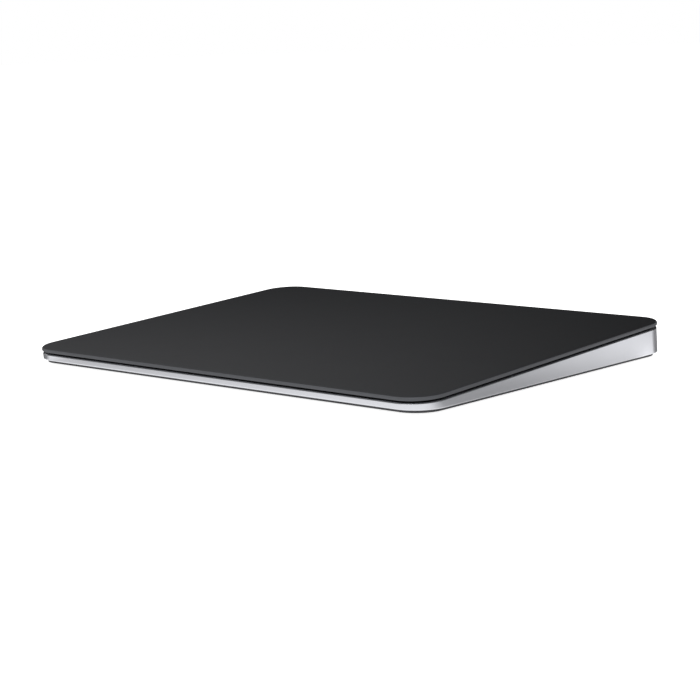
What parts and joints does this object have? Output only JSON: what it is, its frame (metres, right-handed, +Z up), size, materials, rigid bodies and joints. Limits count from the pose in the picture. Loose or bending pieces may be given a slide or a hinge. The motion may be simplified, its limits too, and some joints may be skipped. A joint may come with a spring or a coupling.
{
  "type": "trackpad",
  "caption": "Wedge-shaped desktop trackpad: a black glass plate on leaf springs over an aluminium tray with a haptic engine, a battery, a charging socket and a sliding power switch.",
  "frame": {"origin": "on the desk, under the middle of the bounding box, level with the soles of the feet", "axes": "+X to the user's right, +Y away from the user towards the thick rear edge, +Z up"},
  "size_m": [0.16, 0.1148, 0.0109],
  "materials": {
    "glass_black": "fine etched satin",
    "rim_black": "matte",
    "adhesive": "smooth",
    "board_dark": "solder resist",
    "plain_steel": "pressed",
    "spring_steel": "rolled",
    "screw_steel": "blackened",
    "silicone": "soft",
    "foil": "polyimide film",
    "winding": "enamelled copper wire",
    "bare_aluminium": "fine bead-blasted and anodised",
    "cover_dark": "matte",
    "foot_rubber": "matte",
    "battery_wrap": "foil pouch",
    "nickel": "plated",
    "foam": "open-cell",
    "chip_black": "moulded",
    "ceramic": "fired",
    "connector_plastic": "moulded",
    "socket_steel": "plated",
    "socket_plastic": "moulded",
    "gilt": "gold plated",
    "copper": "etched",
    "knob_aluminium": "bead-blasted and anodised",
    "bezel_black": "moulded",
    "flag_green": "painted"
  },
  "bodies": {
    "base": {"aerial_carrier": "connector_plastic", "aerial_trace": "copper", "battery_board": "board_dark", "battery_board_rest": "foam", "battery_cell": "battery_wrap", "battery_glue": "adhesive", "battery_ribbon": "foil", "battery_tabs": "nickel", "board_capacitors": "ceramic", "board_connectors": "connector_plastic", "board_screws": "screw_steel", "bottom_cover": "cover_dark", "charger_chip": "chip_black", "cover_bond": "adhesive", "enclosure": "bare_aluminium", "flexure_front_left": "spring_steel", "flexure_front_right": "spring_steel", "flexure_rear_left": "spring_steel", "flexure_rear_right": "spring_steel", "flexure_screws": "screw_steel", "foot_front_left": "foot_rubber", "foot_front_right": "foot_rubber", "foot_rear_left": "foot_rubber", "foot_rear_right": "foot_rubber", "force_sensor_chip": "chip_black", "gauge_ribbons": "foil", "haptic_bracket": "plain_steel", "haptic_coil_front_left": "winding", "haptic_coil_front_right": "winding", "haptic_coil_rear_left": "winding", "haptic_coil_rear_right": "winding", "haptic_core_left": "plain_steel", "haptic_core_right": "plain_steel", "haptic_ribbon": "foil", "haptic_screws": "screw_steel", "logic_board": "board_dark", "processor_chip": "chip_black", "radio_chip": "chip_black", "radio_shield": "plain_steel", "sensor_ribbon": "foil", "socket_contacts": "gilt", "socket_shell": "socket_steel", "socket_strap": "plain_steel", "socket_tongue": "socket_plastic", "strain_gauges": "foil", "switch_bezel": "bezel_black", "switch_flag": "flag_green", "switch_housing": "connector_plastic", "touch_controller_chip": "chip_black"},
    "carrier": {"flexure_caps": "spring_steel", "gel_pads": "silicone"},
    "touch_plate": {"glass_plate": "glass_black", "glass_frame": "rim_black", "glass_bond": "adhesive", "sensor_board": "board_dark", "sensor_connector": "connector_plastic", "stiffener_plate": "plain_steel", "haptic_armature": "plain_steel"},
    "switch_slider": {"switch_knob": "knob_aluminium"}
  },
  "joints": [
    {"name": "plate_press", "type": "slide", "parent": "base", "child": "carrier", "axis": [0, -0.0523, 0.9986], "range_m": [-0.00025, 0], "stiffness_N_per_m": 24000, "springref_m": 0.0001, "deforming": ["flexure_front_left", "flexure_front_right", "flexure_rear_left", "flexure_rear_right", "sensor_ribbon"]},
    {"name": "haptic_pulse", "type": "slide", "parent": "carrier", "child": "touch_plate", "axis": [1, 0, 0], "range_m": [-0.0001, 0.0001], "stiffness_N_per_m": 40000, "deforming": ["sensor_ribbon"]},
    {"name": "power_switch", "type": "slide", "parent": "base", "child": "switch_slider", "axis": [1, 0, 0], "range_m": [0, 0.0022]}
  ]
}
